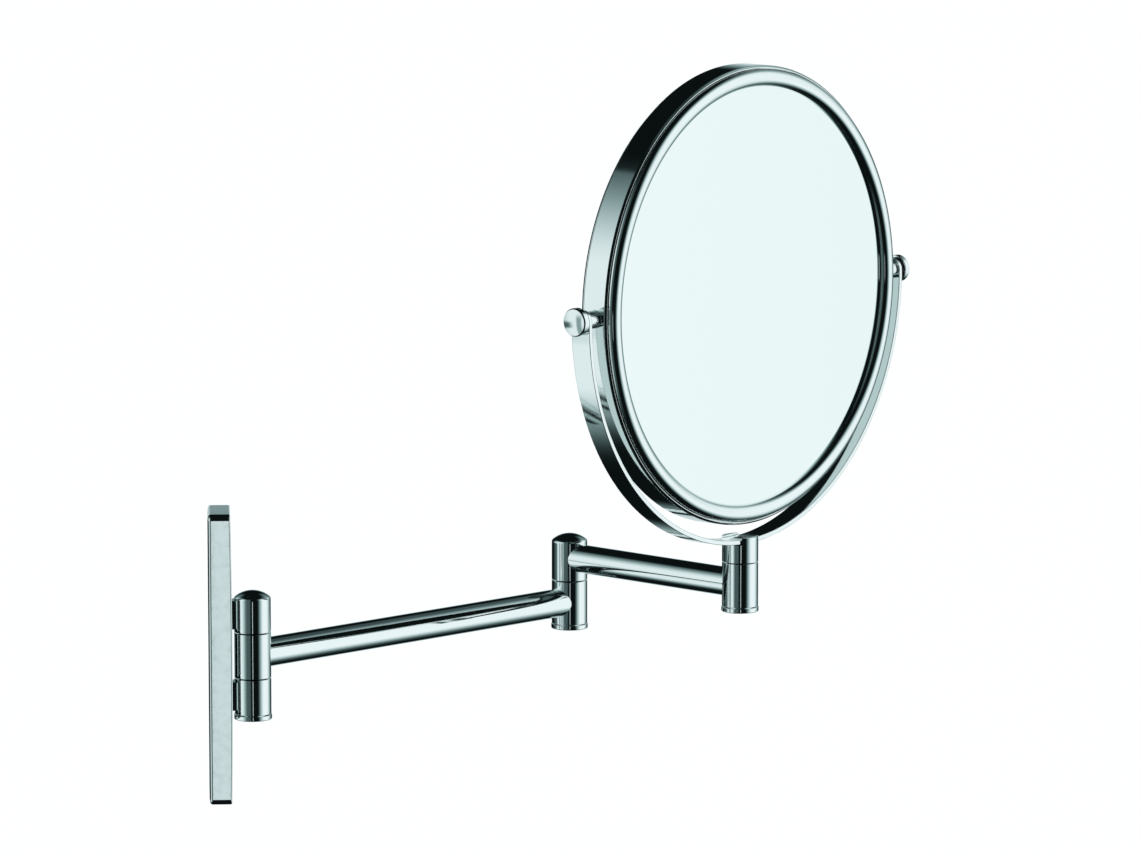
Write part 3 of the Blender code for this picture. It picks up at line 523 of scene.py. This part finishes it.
def make_plate():
    work = plate_bar()
    round_edges(work, END_ROUNDING, end_side, cuts=8)
    round_edges(work, FRONT_ROUNDING, on_front, cuts=4)
    round_edges(work, BACK_ROUNDING, on_back, cuts=5)
    back = [f for f in work.faces if f.normal.y > 0.9]
    rest_of_wall = (PLATE_WALL - BACK_ROUNDING) * MM
    bmesh.ops.inset_region(work, faces=back, thickness=rest_of_wall, use_even_offset=True)
    pushed = bmesh.ops.extrude_face_region(work, geom=back)
    inner = [item for item in pushed["geom"] if isinstance(item, bmesh.types.BMVert)]
    bmesh.ops.translate(work, vec=(0.0, -(PLATE_DEPTH - PLATE_WALL) * MM, 0.0), verts=inner)
    bmesh.ops.delete(work, geom=[f for f in back if f.is_valid], context="FACES")
    lower_end = Matrix.Translation((0.0, -GRUB_HOLE_DEPTH * MM, -PLATE_HEIGHT / 2 * MM))
    work = cut(work, rod(GRUB_HOLE_R, 3 * PLATE_WALL, lower_end))
    hand_over(work, "wall_plate", "chrome", WALL)


make_plate()

# %% [markdown]
# ## Wall knuckles
#
# Two short barrels stand off the plate on square lugs, and arm 1's barrel turns between them. The lugs
# narrow a little away from the plate, as a cast piece does so that it leaves its mould. The upper barrel is
# closed by a shallow dome: a wide arc of 12 mm radius that runs into a tight shoulder of 1.6 mm. The place
# where the two arcs meet comes from their radii, because both have the same slope there.

# %% Barrel sizes
BARREL_R = (high("upper_knuckle").x - low("upper_knuckle").x) / 2
DOME_R = 12.0
SHOULDER_R = 1.6
BARREL_EDGE = 0.25
LUG_WIDTH = 8.0
LUG_DRAFT = 0.6  # narrower on each side at the barrel than at the plate
LUG_HEIGHT = 12.4
LUG_RISE = 17.7
LUG_EDGE = 0.6
print(f"barrels are {2 * BARREL_R:.1f} mm across")


def domed_barrel(top, bottom):
    """A barrel with a dome on top."""
    slope = math.degrees(math.asin((BARREL_R - SHOULDER_R) / (DOME_R - SHOULDER_R)))
    shoulder = top - DOME_R + (DOME_R - SHOULDER_R) * math.cos(math.radians(slope))
    return turned([
        (0.0, top), arc(0.0, top - DOME_R, slope, 12), arc(BARREL_R - SHOULDER_R, shoulder, 90 - slope, 8),
        (BARREL_R, bottom, BARREL_EDGE), (0.0, bottom),
    ])


def plain_barrel(top, bottom):
    """A barrel with flat ends."""
    return turned([
        (0.0, top), (BARREL_R, top, BARREL_EDGE), (BARREL_R, bottom, BARREL_EDGE), (0.0, bottom),
    ])


# %% Wall knuckles
def add_lug(work, rise):
    """A square block from inside the barrel to the plate's face, with its long edges rounded."""
    reach = -level("wall_swivel").y / MM - PLATE_DEPTH + 0.1
    made = bmesh.ops.create_cube(work, size=1.0)
    verts = made["verts"]
    narrow_end = [v for v in verts if v.co.y < 0.0]
    bmesh.ops.scale(work, vec=(1.0 - 2 * LUG_DRAFT / LUG_WIDTH, 1.0, 1.0), verts=narrow_end)
    bmesh.ops.scale(work, vec=(LUG_WIDTH * MM, reach * MM, LUG_HEIGHT * MM), verts=verts)
    bmesh.ops.translate(work, vec=(0.0, reach * MM / 2, rise * MM), verts=verts)
    edges = {e for v in verts for e in v.link_edges}
    along = [e for e in edges if abs(e.verts[0].co.y - e.verts[1].co.y) > reach * MM / 2]
    bmesh.ops.bevel(
        work, geom=along, offset=LUG_EDGE * MM, offset_type="OFFSET", segments=4, profile=0.5,
        affect="EDGES", material=-1,
    )


upper = domed_barrel(high("upper_knuckle").z, low("upper_knuckle").z)
add_lug(upper, LUG_RISE)
hand_over(upper, "upper_knuckle", "chrome", WALL_PIVOT)
lower = plain_barrel(high("lower_knuckle").z, low("lower_knuckle").z)
add_lug(lower, -LUG_RISE)
hand_over(lower, "lower_knuckle", "chrome", WALL_PIVOT)

# %% [markdown]
# ## Arm barrels and cap nuts
#
# The arms' own barrels are plain turned cylinders with their edges just broken. The line left open
# between two barrels, 0.4 mm, is where the nylon washer sits. Under each pivot a cap nut, a little wider
# than the barrel, closes the bore and leaves a thin groove.

# %% Arm barrels
AT_ELBOW = axes_at(level("elbow_swivel"), (1.0, 0.0))
AT_HEAD = axes_at(level("head_swivel"), (1.0, 0.0))
for node, barrel, place in (
    ("arm1_wall_barrel", plain_barrel, WALL_PIVOT), ("arm1_elbow_barrel", plain_barrel, AT_ELBOW),
    ("arm2_elbow_barrel", domed_barrel, AT_ELBOW), ("arm2_head_barrel", plain_barrel, AT_HEAD),
):
    hand_over(barrel(high(node).z, low(node).z), node, "chrome", place)

# %% Cap nuts
CAP_R = (high("wall_cap").x - low("wall_cap").x) / 2
CAP_FLANGE = 2.1
CAP_NECK_R = 5.8


def make_cap(node, place):
    """A flange with a narrower neck, which goes up inside the barrel."""
    bottom = low(node).z
    hand_over(turned([
        (0.0, bottom), (CAP_R, bottom, 0.5), (CAP_R, bottom + CAP_FLANGE, 0.2),
        (CAP_NECK_R, bottom + CAP_FLANGE), (CAP_NECK_R, high(node).z), (0.0, high(node).z),
    ]), node, "chrome", place)


make_cap("wall_cap", WALL_PIVOT)
make_cap("elbow_cap", AT_ELBOW)
make_cap("head_cap", AT_HEAD)

# %% [markdown]
# ## The arms
#
# Each arm is a length of round tube whose two ends are filed hollow, or coped, to sit against the barrels
# they are brazed to. A plain cylinder has its end rings slid along until they follow the barrel: a point
# at distance y from the arm's middle line meets a barrel of radius R at the root of R squared less y
# squared. The ends are hidden in the barrels, so the tube is left open there.

# %% Tubes
TUBE_R = (high("arm2_tube").z - low("arm2_tube").z) / 2


def make_tube(node, length, place):
    work = bmesh.new()
    laid = Matrix.Translation((length * MM / 2, 0.0, 0.0)) @ Matrix.Rotation(math.pi / 2, 4, "Y")
    bmesh.ops.create_cone(
        work, cap_ends=False, segments=TURN_STEPS, radius1=TUBE_R * MM, radius2=TUBE_R * MM,
        depth=length * MM, matrix=laid,
    )
    for vert in work.verts:
        hug = math.sqrt(BARREL_R**2 - (vert.co.y / MM) ** 2) - 0.1
        vert.co.x = hug * MM if vert.co.x < length * MM / 2 else (length - hug) * MM
    hand_over(work, node, "chrome", place)


make_tube("arm1_tube", ARM1_LENGTH, ARM1)
make_tube("arm2_tube", ARM2_LENGTH, ARM2)

# %% [markdown]
# ## The yoke's post
#
# Above the head joint stands a post with a flat top and a slot across it, which holds the yoke's band
# between two cheeks. A disc is sliced along the two sides of the slot and drawn up to the slot's floor,
# and then only its two outer slices are drawn up to the top.

# %% Yoke post
POST_BOTTOM = low("yoke_post").z
POST_TOP = high("yoke_post").z
POST_SLOT = low("yoke_band").z - 0.3
SLOT_HALF_WIDTH = 5.5
POST_EDGE = 0.3


def raise_faces(work, faces, height_mm):
    """Draws some faces straight up to a height; returns the raised faces."""
    drawn = bmesh.ops.extrude_face_region(work, geom=faces)
    raised = [item for item in drawn["geom"] if isinstance(item, bmesh.types.BMFace)]
    for vert in {v for f in raised for v in f.verts}:
        vert.co.z = height_mm * MM
    return raised


def make_post():
    work = bmesh.new()
    bmesh.ops.create_circle(work, cap_ends=True, radius=BARREL_R * MM, segments=TURN_STEPS)
    for side in (-1, 1):
        bmesh.ops.bisect_plane(
            work, geom=work.verts[:] + work.edges[:] + work.faces[:],
            plane_co=(0.0, side * SLOT_HALF_WIDTH * MM, 0.0), plane_no=(0.0, 1.0, 0.0),
        )
    bmesh.ops.translate(work, vec=(0.0, 0.0, POST_BOTTOM * MM), verts=work.verts)
    floor = raise_faces(work, work.faces[:], POST_SLOT)
    cheeks = [f for f in floor if abs(f.calc_center_median().y) > SLOT_HALF_WIDTH * MM]
    raise_faces(work, cheeks, POST_TOP)
    bmesh.ops.delete(work, geom=[f for f in cheeks if f.is_valid], context="FACES_ONLY")
    bmesh.ops.recalc_face_normals(work, faces=work.faces)
    round_edges(work, POST_EDGE)
    hand_over(work, "yoke_post", "chrome", HEAD)


make_post()

# %% [markdown]
# ## The yoke's band
#
# A strip of 10 by 2 mm is bent to a half circle a little bigger than the mirror, and its ends are cut
# round about the tilt pivots. Its section, a rectangle, is spun half a turn, the two end faces are drawn
# up by half the width, and the corners there are bevelled until they meet as a half round. The long edges
# get the small rounding that shows as a bright line down the band.

# %% Yoke band
BAND_WIDTH = 10.0
BAND_INNER_R = 107.0
BAND_OUTER_R = 109.0
BAND_EDGE = 0.35
PIVOT_HOLE_R = 2.3
BEND_STEPS = 160


def make_band():
    work = bmesh.new()
    half = BAND_WIDTH / 2 * MM
    corners = [
        work.verts.new((radius * MM, side * half, 0.0))
        for radius, side in ((BAND_INNER_R, -1), (BAND_OUTER_R, -1), (BAND_OUTER_R, 1), (BAND_INNER_R, 1))
    ]
    section = [work.edges.new((a, b)) for a, b in zip(corners, corners[1:] + corners[:1])]
    bmesh.ops.spin(
        work, geom=corners + section, cent=(0.0, 0.0, 0.0), axis=(0.0, 1.0, 0.0), angle=math.pi,
        steps=BEND_STEPS,
    )
    open_ends = [e for e in work.edges if e.is_boundary]
    drawn = bmesh.ops.extrude_edge_only(work, edges=open_ends)
    tips = [item for item in drawn["geom"] if isinstance(item, bmesh.types.BMVert)]
    bmesh.ops.translate(work, vec=(0.0, 0.0, half), verts=tips)
    bmesh.ops.holes_fill(work, edges=[e for e in work.edges if e.is_boundary], sides=4)
    bmesh.ops.recalc_face_normals(work, faces=work.faces)
    tip_corners = [
        e for e in work.edges
        if all(v.co.z > half * 0.99 for v in e.verts) and abs(e.verts[0].co.y - e.verts[1].co.y) < half
    ]
    bmesh.ops.bevel(
        work, geom=tip_corners, offset=half * 0.998, offset_type="OFFSET", segments=20, profile=0.5,
        affect="EDGES", material=-1,
    )
    round_edges(work, BAND_EDGE)
    across = Matrix.Rotation(math.pi / 2, 4, "Y")
    work = cut(work, rod(PIVOT_HOLE_R, 2 * BAND_OUTER_R + 4.0, across))
    seat = turned([(0.0, 1.0), (2.9, 1.0), (2.9, 0.0), (1.7, -1.2), (1.7, -4.0), (0.0, -4.0)], steps=48)
    seat.transform(Matrix.Translation((0.0, 0.0, -BAND_INNER_R * MM)))
    work = cut(work, seat)
    hand_over(work, "yoke_band", "chrome", TILT)


make_band()

# %% [markdown]
# ## The yoke's screw
#
# A countersunk screw goes down through the band and the post into the head's pin. Its head is level with
# the band, and a key's six-sided socket is cut in it with a six-sided rod.

# %% Yoke screw
SOCKET_R = 1.15


def make_yoke_screw():
    work = turned([(0.0, 0.0), (2.6, 0.0, 0.15), (1.4, -1.2), (1.4, -7.0), (0.0, -7.0)], steps=48)
    work = cut(work, rod(SOCKET_R, 2.0, Matrix.Identity(4), segments=6))
    hand_over(work, "yoke_screw", "steel", TILT @ Matrix.Translation((0.0, 0.0, -BAND_INNER_R * MM)))


make_yoke_screw()

# %% [markdown]
# ## The mirror's rim and bezels
#
# A thin band goes round the mirror, and a crowned bead laps each glass just inside it. The band's edges
# are chamfered at 45 degrees, and this chamfer and the narrow groove beside it show as one dark line. The
# bead's section is a wide arc between two short upright sides: a full half circle would show more dark
# lines in it. All of it is turned, so it is drawn facing up and laid over to face forwards or backwards.

# %% Rim and bezels
RIM_R = (high("rim_band").z - low("rim_band").z) / 2
RIM_HALF_DEPTH = 6.5
RIM_WALL = 1.2
RIM_CHAMFER = 0.9
BEAD_HALF_WIDTH = 3.75
BEAD_MIDDLE_R = 94.75
BEAD_TOP = 9.8
BEAD_CROWN = 2.7
BEAD_SKIRT = 4.5
RING_STEPS = 240
GLASS_FACE = 6.2

rim = turned([
    (RIM_R, RIM_HALF_DEPTH - RIM_CHAMFER, 0.15), (RIM_R, RIM_CHAMFER - RIM_HALF_DEPTH, 0.15),
    (RIM_R - RIM_CHAMFER, -RIM_HALF_DEPTH, 0.1), (RIM_R - RIM_WALL, -RIM_HALF_DEPTH, 0.05),
    (RIM_R - RIM_WALL, RIM_HALF_DEPTH, 0.05), (RIM_R - RIM_CHAMFER, RIM_HALF_DEPTH, 0.1),
], closed=True, steps=RING_STEPS)
hand_over(rim, "rim_band", "chrome", FRONT)

crown_r = (BEAD_HALF_WIDTH**2 + BEAD_CROWN**2) / (2 * BEAD_CROWN)
crown_spread = 2 * math.degrees(math.asin(BEAD_HALF_WIDTH / crown_r))
for bezel, place in (("front_bezel", FRONT), ("rear_bezel", REAR)):
    outer, inner = BEAD_MIDDLE_R + BEAD_HALF_WIDTH, BEAD_MIDDLE_R - BEAD_HALF_WIDTH
    bead = turned([
        (inner, GLASS_FACE), (inner, BEAD_TOP - BEAD_CROWN),
        arc(BEAD_MIDDLE_R, BEAD_TOP - crown_r, crown_spread, 28), (outer, BEAD_SKIRT),
        (outer - 0.8, BEAD_SKIRT), (outer - 0.8, GLASS_FACE),
    ], closed=True, steps=RING_STEPS)
    hand_over(bead, bezel, "chrome", place)

# %% [markdown]
# ## The two glasses
#
# The front glass is flat. The rear one magnifies, so it is hollow: its face is part of a sphere of 850 mm
# radius, and at the middle it is 5.6 mm deeper than at its edge. Both are 2 mm thick, with their edges
# just ground.

# %% Glasses
GLASS_R = 97.2
GLASS_THICKNESS = 2.0
HOLLOW_R = 850.0

front_glass = turned([
    (0.0, GLASS_FACE), (GLASS_R, GLASS_FACE, 0.3), (GLASS_R, GLASS_FACE - GLASS_THICKNESS, 0.3),
    (0.0, GLASS_FACE - GLASS_THICKNESS),
], steps=RING_STEPS)
hand_over(front_glass, "front_glass", "silvered_glass", FRONT)

spread = math.asin(GLASS_R / HOLLOW_R)
hollow_middle = GLASS_FACE - HOLLOW_R * (1.0 - math.cos(spread))
print(f"the rear glass is {GLASS_FACE - hollow_middle:.1f} mm hollow")
rear_glass = turned([
    (0.0, hollow_middle), arc(0.0, hollow_middle + HOLLOW_R, -math.degrees(spread), 24),
    (GLASS_R, GLASS_FACE - GLASS_THICKNESS),
    arc(0.0, hollow_middle + HOLLOW_R - GLASS_THICKNESS, math.degrees(spread), 24),
], steps=RING_STEPS)
hand_over(rear_glass, "rear_glass", "silvered_glass", REAR)

# %% [markdown]
# ## The tilt pivots
#
# On each side a round knob with a slightly crowned face clamps the yoke's end against a plain spacer, with
# a nylon washer under the knob. The knob's stud runs in through the yoke and the rim to a nut behind it.

# %% Knobs and spacers
KNOB_R = 6.1
KNOB_INNER = 110.1
KNOB_OUTER = 113.9
STUD_R = 2.0
STUD_END = 94.3
SPACER_R = 4.0
SPACER_BORE_R = 2.3
SPACER_INNER = 100.1
SPACER_OUTER = 106.9
KNOB_CROWN_R = 26.0

crown = math.degrees(math.asin((KNOB_R - 0.5) / KNOB_CROWN_R))
for side, turn in (("left", -math.pi / 2), ("right", math.pi / 2)):
    along = TILT @ Matrix.Rotation(turn, 4, "Y")
    knob = turned([
        (0.0, KNOB_OUTER), arc(0.0, KNOB_OUTER - KNOB_CROWN_R, crown, 8), (KNOB_R, KNOB_OUTER - 1.2, 0.2),
        (KNOB_R, KNOB_INNER, 0.3), (STUD_R, KNOB_INNER), (STUD_R, STUD_END, 0.3), (0.0, STUD_END),
    ])
    hand_over(knob, side + "_knob", "chrome", along)
    spacer = turned([
        (SPACER_BORE_R, SPACER_INNER), (SPACER_R, SPACER_INNER, 0.2), (SPACER_R, SPACER_OUTER, 0.2),
        (SPACER_BORE_R, SPACER_OUTER),
    ], closed=True)
    hand_over(spacer, side + "_spacer", "chrome", along)

# %% [markdown]
# ## Everything else
#
# The pins, springs, washers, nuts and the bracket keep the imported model's own solids, whose shapes are
# right as they are. They only need their finishes in place of the plain colours that they came with.

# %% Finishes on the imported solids
kept = 0
for node in NODES.values():
    for place in node.material_slots:
        place.material = FINISHES[place.material.name.split(".")[0]]
        kept += 1
print("packed solids with a finish:", kept)

# %% [markdown]
# ## The studio round the object
#
# Chrome has no colour of its own: what it shows is the room. A studio lights it with two large white
# panels, one at each side, and leaves the rest of the room dark, so that every round piece gets broad
# white bands with crisp black ones between them. Panels could be built as glowing sheets, but they would
# stand in the way of views from other sides, so they are drawn on the world instead, by direction. An angle
# round the horizon and an angle above it come from the direction of the ray. Each panel is a soft-edged
# window in those two angles, in degrees: 0 is where the camera stands, and positive is to the right. A
# real studio also has spilt light, a card held up for one dull face, and things that stand before a panel,
# and these smaller lights and shadows give the thin grey lines between the broad bands.


# %% Panels of light
def soft_step(tree, value, start, end):
    """0 before start and 1 after end, or the other way round where start is the larger."""
    return add_node(
        tree, "ShaderNodeMapRange", {"interpolation_type": "SMOOTHSTEP"}, Value=value,
        From_Min=float(start), From_Max=float(end),
    ).outputs["Result"]


def work_out(tree, operation, *values):
    names = {f"_{i}": value for i, value in enumerate(values)}
    return add_node(tree, "ShaderNodeMath", {"operation": operation}, **names).outputs["Value"]


def panel(tree, angle, rise, across, up, brightness):
    """A soft window of light: (start, full, full, end) across and up, in degrees."""
    light = brightness
    for value, (start, full_from, full_to, end) in ((angle, across), (rise, up)):
        light = work_out(tree, "MULTIPLY", light, soft_step(tree, value, start, full_from))
        light = work_out(tree, "MULTIPLY", light, soft_step(tree, value, end, full_to))
    return light


# %% The lights and shadows
DARK_ROOM = 0.006
LEFT_PANEL = (-133, -86, -52, -32)
LIGHTS = [  # "angle", or "behind" for one that is alike on both sides; across, up and brightness
    ("angle", (34, 76, 98, 150), (-56, -24, 30, 62), 1.0),  # the large panel on the right
    ("angle", LEFT_PANEL, (-52, -30, 12, 50), 0.76),  # the large panel on the left
    ("angle", LEFT_PANEL, (-52, -30, 44.5, 46), 0.15),  # its frame, which ends sharply at the top
    ("angle", (100, 125, 150, 168), (0, 10, 30, 55), 0.30),  # light on the wall past the right panel
    ("behind", (158, 170, 181, 182), (-40, -22, 0, 18), 0.70),  # a sheet of card behind the object
    ("angle", (-50, -30, -16, -6), (-60, -30, 30, 75), 0.10),  # light spilt beside the left panel
    ("angle", (1.6, 2.4, 4.4, 5.2), (-17, -14, -7, -4), 0.78),  # a small card for the wall plate's side
]
SHADOWS = [
    ((-175, -160, -94, -76), (-17, -13.5, -10, -5), 0.85),  # the dark edge of the table
    ((-74, -69, -63, -58), (-44, -30, -2, 8), 0.6),  # a stand before the left panel
]
print(len(LIGHTS), "lights and", len(SHADOWS), "shadows")


# %% The studio
def build_studio():
    world = bpy.data.worlds.new("studio")
    bpy.context.scene.world = world
    world.use_nodes = True
    tree = world.node_tree
    tree.nodes.clear()
    ray = add_node(tree, "ShaderNodeTexCoord").outputs["Generated"]
    turned_ray = add_node(
        tree, "ShaderNodeVectorRotate", {"rotation_type": "Z_AXIS"}, Vector=ray, Angle=math.pi - HEADING
    )
    parts = add_node(tree, "ShaderNodeSeparateXYZ", Vector=turned_ray.outputs["Vector"])
    x, y, z = (parts.outputs[axis] for axis in "XYZ")
    angle = work_out(tree, "DEGREES", work_out(tree, "ARCTAN2", y, x))
    rise = work_out(tree, "DEGREES", work_out(tree, "ARCSINE", z))
    around = {"angle": angle, "behind": work_out(tree, "ABSOLUTE", angle)}
    total = DARK_ROOM
    for measured, across, up, brightness in LIGHTS:
        light = panel(tree, around[measured], rise, across, up, brightness)
        total = work_out(tree, "ADD", total, light)
    for across, up, depth in SHADOWS:
        shadow = panel(tree, angle, rise, across, up, depth)
        total = work_out(tree, "MULTIPLY", total, work_out(tree, "SUBTRACT", 1.0, shadow))
    tone = add_node(
        tree, "ShaderNodeMix", {"data_type": "RGBA"}, Factor=total, _6=(0.60, 0.95, 0.97, 1.0),
        _7=(0.92, 0.98, 1.0, 1.0),
    )
    lit = add_node(tree, "ShaderNodeBackground", Color=tone.outputs[2], Strength=total)
    backdrop = add_node(tree, "ShaderNodeBackground", Color=linear("#ffffff"), Strength=1.0)
    seen = add_node(tree, "ShaderNodeLightPath").outputs["Is Camera Ray"]
    mixed = add_node(
        tree, "ShaderNodeMixShader", _0=seen, _1=lit.outputs["Background"], _2=backdrop.outputs["Background"]
    )
    output = add_node(tree, "ShaderNodeOutputWorld")
    tree.links.new(mixed.outputs["Shader"], output.inputs["Surface"])


build_studio()
bpy.context.scene.view_settings.view_transform = "Standard"

# %% [markdown]
# ## The floor
#
# A wide sheet of white paper well below the object. It glows a little, as paper does that is lit from
# under, so no shadow edge shows, and it is left out of the chrome's reflections, which would otherwise
# lose the dark lower edges that give the tubes their shape.


# %% Floor
PAPER_HEIGHT = -0.4  # metres, as the next one
PAPER_SIZE = 12.0


def lit_paper():
    material, tree, surface = new_material("lit_white_paper")
    place = add_node(tree, "ShaderNodeTexCoord").outputs["Object"]
    fibres = add_node(tree, "ShaderNodeTexNoise", Vector=place, Scale=1 / (40 * MM), Detail=4.0)
    tone = add_node(
        tree, "ShaderNodeMix", {"data_type": "RGBA"}, Factor=fibres.outputs["Fac"],
        _6=linear("#fdfdfd"), _7=linear("#ffffff"),
    )
    shader = add_node(
        tree, "ShaderNodeBsdfPrincipled", Base_Color=tone.outputs[2], Roughness=0.9,
        Emission_Color=linear("#ffffff"), Emission_Strength=0.85,
    )
    tree.links.new(shader.outputs["BSDF"], surface)
    return material


paper = bmesh.new()
bmesh.ops.create_grid(paper, x_segments=4, y_segments=4, size=PAPER_SIZE)
bmesh.ops.translate(paper, vec=(0.0, 0.0, PAPER_HEIGHT), verts=paper.verts)
floor_mesh = bpy.data.meshes.new("paper_floor")
paper.to_mesh(floor_mesh)
paper.free()
floor_mesh.materials.append(lit_paper())
floor = bpy.data.objects.new("paper_floor", floor_mesh)
floor.visible_glossy = False
bpy.context.scene.collection.objects.link(floor)
